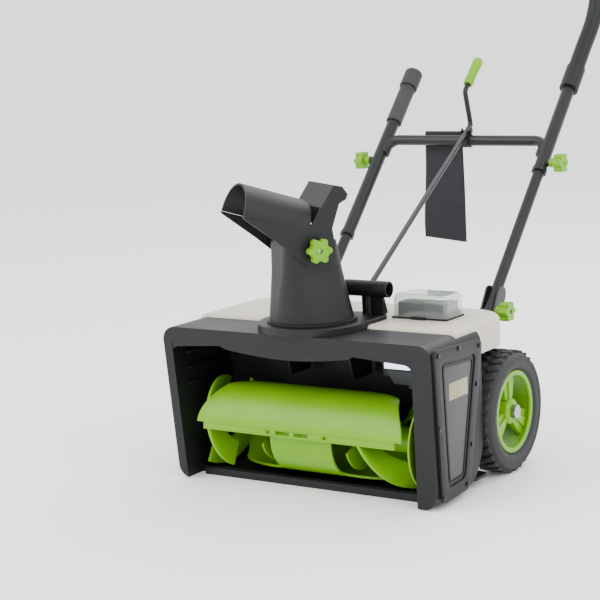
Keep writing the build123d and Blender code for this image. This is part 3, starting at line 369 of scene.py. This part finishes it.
def buildAugerFlights(centre, outer, endX):
    s = augerSizes
    bm = bmesh.new()
    # where each flight starts, how far it turns, and how far it moves along the shaft
    left = (-30, 185, -endX + 5 * mm, 46 * mm)
    right = (78, 120, 104 * mm, endX - 112 * mm)
    for first, turn, startX, travel in (left, right):
        for start in (first, first + 180):
            line = [around(start) @ Vector((startX, 0, r)) for r in (*s["flightRings"], outer)]

            def wind(co, share, angle):
                return spun(centre, co, angle) + xAxis * travel * angle / turn

            swept(bm, [centre + p for p in line], turn, 36, wind)
    pieceFrom(bm, "augerFlights", "auger", lime, bevel=0.8 * mm, wall=5 * mm)


def buildAuger():
    centre, half = middle("auger_rotor")
    s = augerSizes
    outer = half.z - 2.5 * mm
    endX = half.x
    bm = bmesh.new()
    turned(bm, [(-endX, s["hub"]), (endX, s["hub"]), (endX, 8.4 * mm), (-endX, 8.4 * mm)], centre, xAxis, 48)
    pieceFrom(bm, "augerHub", "auger", lime, bevel=1 * mm)
    # webs that carry the shells from the hub
    bm = bmesh.new()
    for x in (-78 * mm, 0, 78 * mm):
        for start in (s["edgeAt"] - 20, s["edgeAt"] + 160):
            web = [around(start) @ Vector((x, 0, r)) for r in (s["hub"] - 2 * mm, s["innerReach"] - 2 * mm)]
            swept(bm, [centre + p for p in web], -130, 24, lambda co, share, angle: spun(centre, co, angle))
    pieceFrom(bm, "augerWebs", "auger", lime, bevel=0.6 * mm, wall=3 * mm)
    buildAugerShells(centre, outer)
    buildAugerStrips(centre, outer)
    buildAugerFlights(centre, outer, endX)
    bm = bmesh.new()
    section = [(endX - 14 * mm, 18 * mm), (endX - 10 * mm, 50 * mm), (endX - s["dishThick"], outer),
               (endX, outer), (endX - 6 * mm, 50 * mm), (endX - 9 * mm, 18 * mm)]
    turned(bm, section, centre, xAxis, 96)
    dish = pieceFrom(bm, "augerDish", "auger", lime, bevel=0.8 * mm)
    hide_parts("auger_rotor")


buildAuger()
print("auger built")


# ---- wheels

wheelSizes = {"tread": 4 * mm, "blocks": 34, "band": 3.2 * mm, "hub": 21 * mm, "spokes": 3, "ribs": 4,
              "spokeWide": 17 * mm, "spokeNarrow": 12 * mm}


def buildWheel(name, side):
    centre, half = middle(f"tyre_{name}")
    rimCentre, rimHalf = middle(f"wheel_rim_{name}")
    s = wheelSizes
    wide, reach = half.x, half.z
    inner = rimHalf.z + 0.2 * mm
    carcass = reach - s["tread"]
    section = [(-wide + 7 * mm, inner), (-wide + 1 * mm, inner + 5 * mm), (-wide, inner + 13 * mm)]
    for n in range(s["ribs"]):
        r = inner + 15 * mm + n * 2.4 * mm
        section += [(-wide + 1.2 * mm, r), (-wide + 0.2 * mm, r + 1.2 * mm)]
    section += [(-wide + 6 * mm, carcass - 1 * mm), (-wide * 0.5, carcass)]
    section += [(-a, r) for a, r in reversed(section)]
    bm = bmesh.new()
    turned(bm, section, centre, xAxis, 144)
    # chevron blocks, in two rows half a step apart
    for n in range(s["blocks"]):
        for row in (-1, 1):
            angle = math.tau * (n + 0.25 * row) / s["blocks"]
            turn = Matrix.Rotation(angle, 4, "X")
            lean = Matrix.Rotation(math.radians(24 * row), 4, "Z")
            block(bm, centre + turn @ Vector((row * wide * 0.44, 0, carcass + s["tread"] / 2 - 0.9 * mm)),
                  (wide * 0.7, 9.5 * mm, s["tread"] + 1 * mm), turn @ lean)
    tyre = pieceFrom(bm, f"tyreTread{name.capitalize()}", f"wheel_{name}", tyreMat,
                     bevel=0.6 * mm)
    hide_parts(f"tyre_{name}")

    rimWide = rimHalf.x
    bm = bmesh.new()
    outer = rimHalf.z - 0.3 * mm
    band = [(-rimWide, outer), (rimWide, outer), (rimWide, outer - 8 * mm),
            (rimWide - 4 * mm, outer - 9 * mm), (rimWide - 6 * mm, outer - s["band"] - 2 * mm),
            (-rimWide, outer - s["band"])]
    turned(bm, band, rimCentre, xAxis * side, 96)
    hub = [(-rimWide * 0.8, s["hub"]), (rimWide * 0.7, s["hub"]), (rimWide * 0.85, s["hub"] - 4 * mm),
           (rimWide * 0.85, 6.6 * mm), (-rimWide * 0.8, 6.6 * mm)]
    turned(bm, hub, rimCentre, xAxis * side, 64)
    for n in range(s["spokes"]):
        turn = Matrix.Rotation(math.tau * n / s["spokes"], 4, "X")
        w0, w1, r0, r1 = s["spokeNarrow"], s["spokeWide"] + 6 * mm, s["hub"] - 2 * mm, outer - 6 * mm
        face = side * rimWide * 0.55
        flat = [Vector((face, w, r)) for w, r in ((-w0, r0), (w0, r0), (w1, r1), (-w1, r1))]
        prism(bm, [rimCentre + turn @ p for p in flat], Vector((-side * 10 * mm, 0, 0)))
        # raised middle rib
        rib = [Vector((p.x, p.y * 0.35, p.z)) for p in flat]
        prism(bm, [rimCentre + turn @ p for p in rib], Vector((side * 3 * mm, 0, 0)))
    rim = pieceFrom(bm, f"spokedRim{name.capitalize()}", f"wheel_{name}", lime,
                    bevel=1.2 * mm)
    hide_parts(f"wheel_rim_{name}")


for wheelName, wheelSide in (("left", -1), ("right", 1)):
    buildWheel(wheelName, wheelSide)
print("wheels built")


# ---- belt cover with its framed panel

coverSizes = {"corner": 14 * mm, "frame": 20 * mm, "frameHigh": 2 * mm, "ridgeIn": 5 * mm, "ridge": 2.6 * mm,
              "ridgeHigh": 1.2 * mm, "fieldHigh": 0.4 * mm}


def movedIn(corners, d):
    # the same four-sided outline, with each side moved in by d
    centre = sum((Vector(c) for c in corners), Vector((0, 0))) / len(corners)
    lines = []
    for a, b in zip(corners, corners[1:] + corners[:1]):
        a, b = Vector(a), Vector(b)
        inward = (b - a).orthogonal().normalized()
        if inward.dot(centre - a) < 0:
            inward = -inward
        lines.append((a + inward * d, b - a))
    out = []
    for (p, u), (q, v) in zip(lines[-1:] + lines[:-1], lines):
        t = (q - p).cross(v) / u.cross(v)
        out.append(tuple(p + u * t))
    return out


def roundedFace(bm, corners, x, radius):
    face = bm.faces.new([bm.verts.new((x, y, z)) for y, z in corners])
    rest = set(bm.faces) - {face}
    bmesh.ops.bevel(bm, geom=list(face.verts), offset=radius, segments=6, profile=0.5, affect="VERTICES",
                    material=-1)
    return next(f for f in bm.faces if f not in rest)


def raisedRing(bm, outer, inner, x, high, radii):
    made = []
    for corners, radius in zip((outer, inner), radii):
        face = roundedFace(bm, corners, x, radius)
        made += list(face.edges)
        bmesh.ops.delete(bm, geom=[face], context="FACES_ONLY")
    ring = bmesh.ops.bridge_loops(bm, edges=made)["faces"]
    pushOut(bm, ring, (high, 0, 0))


def buildBeltCover():
    low, high = (Vector(p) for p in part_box("belt_cover"))
    s = coverSizes
    deep = high.y - low.y
    tall = high.z - low.z
    # four corners, leaning in at the back as they go down
    corners = [(low.y, high.z), (high.y, high.z - 0.034 * tall), (high.y - 0.32 * deep, low.z + 0.02 * tall),
               (low.y + 0.11 * deep, low.z)]
    bm = bmesh.new()
    face = roundedFace(bm, corners, low.x, s["corner"])
    pushOut(bm, [face], (high.x - low.x - s["frameHigh"], 0, 0))
    cover = pieceFrom(bm, "beltCoverPlate", "chassis", charcoal, bevel=0.7 * mm)
    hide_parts("belt_cover")
    face = high.x - s["frameHigh"]
    bm = bmesh.new()
    raisedRing(bm, corners, movedIn(corners, s["frame"]), face, s["frameHigh"], (s["corner"], 9 * mm))
    pieceFrom(bm, "beltCoverFrame", "chassis", charcoal, bevel=0.8 * mm)
    bm = bmesh.new()
    start = s["frame"] + s["ridgeIn"]
    outside, inside = movedIn(corners, start), movedIn(corners, start + s["ridge"])
    raisedRing(bm, outside, inside, face, s["ridgeHigh"], (7 * mm, 5 * mm))
    pieceFrom(bm, "beltCoverRidge", "chassis", charcoal, bevel=0.4 * mm)
    # smooth grey field inside the ridge, and a plain decal with no lettering
    field = movedIn(corners, start + s["ridge"] + 2 * mm)
    bm = bmesh.new()
    panel = roundedFace(bm, field, face, 4 * mm)
    pushOut(bm, [panel], (s["fieldHigh"], 0, 0))
    pieceFrom(bm, "beltCoverField", "chassis", greyRim, bevel=0.1 * mm)
    middleY = sum(y for y, z in field[:2]) / 2
    bm = bmesh.new()
    spot = Vector((face + s["fieldHigh"], middleY, high.z - 0.3 * tall))
    block(bm, spot, (0.4 * mm, 0.38 * deep, 0.11 * tall))
    pieceFrom(bm, "coverDecal", "chassis", decal, bevel=0.1 * mm)


buildBeltCover()
print("belt cover built")


# ---- housing trim: hanging lip with its bulge, ribs in the left wall, funnel plates, bay panel, screws

housingSizes = {"lean": 18 * mm, "lip": 1.5 * mm, "bulge": 9 * mm, "bulgeHalf": 112 * mm, "bulgeAt": -10 * mm,
                "lipDepth": 11 * mm, "ribs": 5, "plate": 3 * mm, "screw": 3.2 * mm, "rimTop": 24 * mm,
                "mouthLeft": -228 * mm, "mouthRight": 212 * mm, "panelAt": 36 * mm, "clear": 168 * mm}


def buildHousingTrim():
    low, high = (Vector(p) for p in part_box("auger_housing"))
    s = housingSizes
    top = high.z - s["rimTop"]
    left, right = s["mouthLeft"], s["mouthRight"]
    front = low.y + s["lean"] * s["rimTop"] / (250 * mm)
    # lip under the rim: rounded inner corners and a long bulge under the chute
    lipLow = top - s["lip"]
    line = [(left, top + 1 * mm)]
    line += [(left + 16 * mm * (1 - math.cos(a)), top - 18 * mm + 11 * mm * math.sin(a))
             for a in (math.radians(18 * n) for n in range(6))]
    a0, a1 = s["bulgeAt"] - s["bulgeHalf"], s["bulgeAt"] + s["bulgeHalf"]
    line += [(a0 - 12 * mm, lipLow)]
    line += [(a0 + (a1 - a0) * n / 12, lipLow - 5 * mm - s["bulge"] * math.sin(math.pi * n / 12))
             for n in range(13)]
    line += [(a1 + 8 * mm, lipLow)]
    line += [(right - 16 * mm * (1 - math.cos(a)), top - 18 * mm + 11 * mm * math.sin(a))
             for a in (math.radians(18 * n) for n in range(5, -1, -1))]
    line += [(right, top + 1 * mm)]
    bm = bmesh.new()
    prism(bm, [Vector((x, front, z)) for x, z in line], Vector((0, s["lipDepth"], 0)))
    pieceFrom(bm, "mouthLip", "chassis", charcoal, bevel=1 * mm)
    bm = bmesh.new()
    for n in range(s["ribs"]):
        block(bm, Vector((-0.2215 + 0.0016 * (4 - n), 0.012, 0.206 - 0.026 * n)), (5 * mm, 88 * mm, 3 * mm))
    pieceFrom(bm, "leftWallRibs", "chassis", charcoal, bevel=0.5 * mm)
    # plates that lead the snow up into the outlet, and the slanted panel in front of the motor bay
    bm = bmesh.new()
    for x in (-62 * mm, 54 * mm):
        corners = ((16 * mm, top + 4 * mm), (92 * mm, top + 4 * mm), (92 * mm, s["clear"]),
                   (34 * mm, s["clear"]))
        side = [Vector((x, y, z)) for y, z in corners]
        prism(bm, side, Vector((s["plate"], 0, 0)))
    pieceFrom(bm, "funnelPlates", "chassis", charcoal, bevel=0.5 * mm)
    bm = bmesh.new()
    corners = ((84 * mm, top + 6 * mm), (right, top + 6 * mm), (right, s["clear"]), (128 * mm, s["clear"]))
    panel = [Vector((x, s["panelAt"], z)) for x, z in corners]
    prism(bm, panel, Vector((0, 2.2 * mm, 0)))
    pieceFrom(bm, "bayPanel", "chassis", greyRim, bevel=0.5 * mm)
    # dark heads of the rim's screws
    bm = bmesh.new()
    for x, z in ((left + 14 * mm, top - 6 * mm), (right - 6 * mm, top - 40 * mm), (left + 2 * mm, 96 * mm)):
        y = low.y + s["lean"] * (high.z - z) / (250 * mm) + 6 * mm
        head = [(0, s["screw"]), (2 * mm, s["screw"]), (2.6 * mm, s["screw"] * 0.6), (1.4 * mm, 0.4 * mm)]
        turned(bm, head, Vector((x, y, z)), Vector((0, -1, 0)), 20)
    pieceFrom(bm, "rimScrews", "chassis", blackTube)


buildHousingTrim()
print("housing trim built")


# ---- strap: a flat webbing that hangs behind the crossbar and turns a little

strapSizes = {"width": 76 * mm, "length": 206 * mm, "thick": 1.6 * mm, "twist": 34, "cut": 14 * mm}


def buildStrap():
    centre, _ = middle("hanging_strap")
    s = strapSizes
    bm = bmesh.new()
    made = bmesh.ops.create_grid(bm, x_segments=16, y_segments=44, size=0.5)["verts"]
    upright = Matrix.Rotation(math.radians(90), 4, "X")
    bmesh.ops.transform(bm, matrix=upright @ Matrix.Diagonal((s["width"], s["length"], 1, 1)), verts=made)
    for vert in bm.verts:
        drop = 0.5 - vert.co.z / s["length"]   # 0 at the top, 1 at the bottom
        # the lower edge is cut at a slant
        vert.co.z += s["cut"] * (0.5 - vert.co.x / s["width"]) * max(0, drop - 0.6) / 0.4
        turn = Matrix.Rotation(math.radians(s["twist"]) * drop * drop, 3, "Z")
        vert.co = turn @ vert.co
        vert.co.y += 2.5 * mm * math.sin(drop * 6.0) * drop
        vert.co += centre
    strap = pieceFrom(bm, "hangingStrap", "upper_handle", webbing, wall=s["thick"],
                      recalc=False)
    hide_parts("hanging_strap")


buildStrap()
print("strap built")


# ---- grips

gripSizes = {"bore": 11.6 * mm, "lip": 2 * mm, "slope": 46, "crankLean": (0, 0.735, 0.678),
             "crankHalf": 32 * mm}


def along(node):
    # start and direction of a round piece that lies along the left handle tube
    low, high = (Vector(p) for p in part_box(node))
    slope = math.radians(gripSizes["slope"])
    lean = Vector((0, math.cos(slope), math.sin(slope)))
    centre = (low + high) / 2
    radius = (high.x - low.x) / 2
    length = ((high.z - low.z) - 2 * radius * lean.y) / lean.z
    return centre, lean, radius, length


def buildLeftGrip():
    centre, lean, radius, length = along("left_grip")
    s = gripSizes
    half = length / 2
    # smooth moulded sleeve with a small bead at its lower end
    outline = [(-half, s["bore"]), (-half, radius - 0.6 * mm), (-half + s["lip"] / 2, radius),
               (-half + s["lip"], radius),
               (-half + 2 * s["lip"], radius - 0.5 * mm), (half - s["lip"], radius - 0.5 * mm),
               (half, radius - 1 * mm), (half, s["bore"])]
    bm = bmesh.new()
    turned(bm, outline, centre, lean, 48)
    sleeve = pieceFrom(bm, "smoothGripSleeve", "upper_handle", grip)
    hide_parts("left_grip")


def buildCrankGrip():
    low, high = (Vector(p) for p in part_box("crank_grip"))
    centre = (low + high) / 2
    lean = Vector(gripSizes["crankLean"]).normalized()
    radius = (high.x - low.x) / 2
    half = gripSizes["crankHalf"]
    outline = [(-half, 4.9 * mm), (-half, 7.5 * mm), (-half + 3 * mm, radius - 0.6 * mm),
               (-half * 0.4, radius - 1.4 * mm), (half * 0.4, radius - 0.3 * mm),
               (half - 5 * mm, radius - 0.2 * mm), (half - 1 * mm, radius - 3 * mm),
               (half, 3 * mm), (half - 4 * mm, 4.9 * mm)]
    bm = bmesh.new()
    turned(bm, outline, centre, lean, 48)
    knob = pieceFrom(bm, "contouredCrankGrip", "crank_grip", lime)
    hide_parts("crank_grip")


buildLeftGrip()
buildCrankGrip()
print("grips built")


# ---- floor, light and camera

stageSizes = {"floor": 24.0, "azimuth": 32.95, "elevation": 9.37, "roll": 2.27, "lens": 101.85,
              "place": (1.40852, -2.1982, 0.72976),
              # place, power and size of each
              "softboxes": (((-1.6, -2.2, 2.6), 70, 2.4), ((2.6, -0.8, 2.2), 40, 2.0),
                            ((0.2, 2.2, 2.6), 45, 2.2))}


def buildStage():
    bm = bmesh.new()
    bmesh.ops.create_grid(bm, x_segments=1, y_segments=1, size=stageSizes["floor"])
    mesh = bpy.data.meshes.new("studioFloor")
    bm.to_mesh(mesh)
    bm.free()
    floor = bpy.data.objects.new("studioFloor", mesh)
    bpy.context.scene.collection.objects.link(floor)
    mat, _, body = newMaterial("mattWhiteFloor", {"Roughness": 0.7})
    body.inputs["Base Color"].default_value = linear("FFFFFF")
    mesh.materials.append(mat)
    world = bpy.data.worlds.new("softStudio")
    bpy.context.scene.world = world
    world.use_nodes = True
    sky = world.node_tree.nodes["Background"]
    sky.inputs["Color"].default_value = linear("FBFCFF")
    sky.inputs["Strength"].default_value = 1.9
    for spot, power, size in stageSizes["softboxes"]:
        data = bpy.data.lights.new("softbox", "AREA")
        data.energy = power
        data.size = size
        lamp = bpy.data.objects.new("softbox", data)
        bpy.context.scene.collection.objects.link(lamp)
        lamp.location = spot
        lamp.rotation_euler = (Vector((0, 0.2, 0.3)) - Vector(spot)).to_track_quat("-Z", "Y").to_euler()


def placeCamera():
    s = stageSizes
    a, e, r = (math.radians(s[key]) for key in ("azimuth", "elevation", "roll"))
    look = Vector((-math.sin(a) * math.cos(e), math.cos(a) * math.cos(e), -math.sin(e)))
    level = look.cross(Vector((0, 0, 1))).normalized()
    up = level.cross(look)
    right = level * math.cos(r) - up * math.sin(r)
    top = level * math.sin(r) + up * math.cos(r)
    data = bpy.data.cameras.new("studioCamera")
    data.lens = s["lens"]
    data.sensor_width = 36
    camera = bpy.data.objects.new("studioCamera", data)
    bpy.context.scene.collection.objects.link(camera)
    turn = Matrix((right, top, -look)).transposed()
    camera.matrix_world = Matrix.Translation(s["place"]) @ turn.to_4x4()
    bpy.context.scene.camera = camera


buildStage()
placeCamera()
print("stage set")
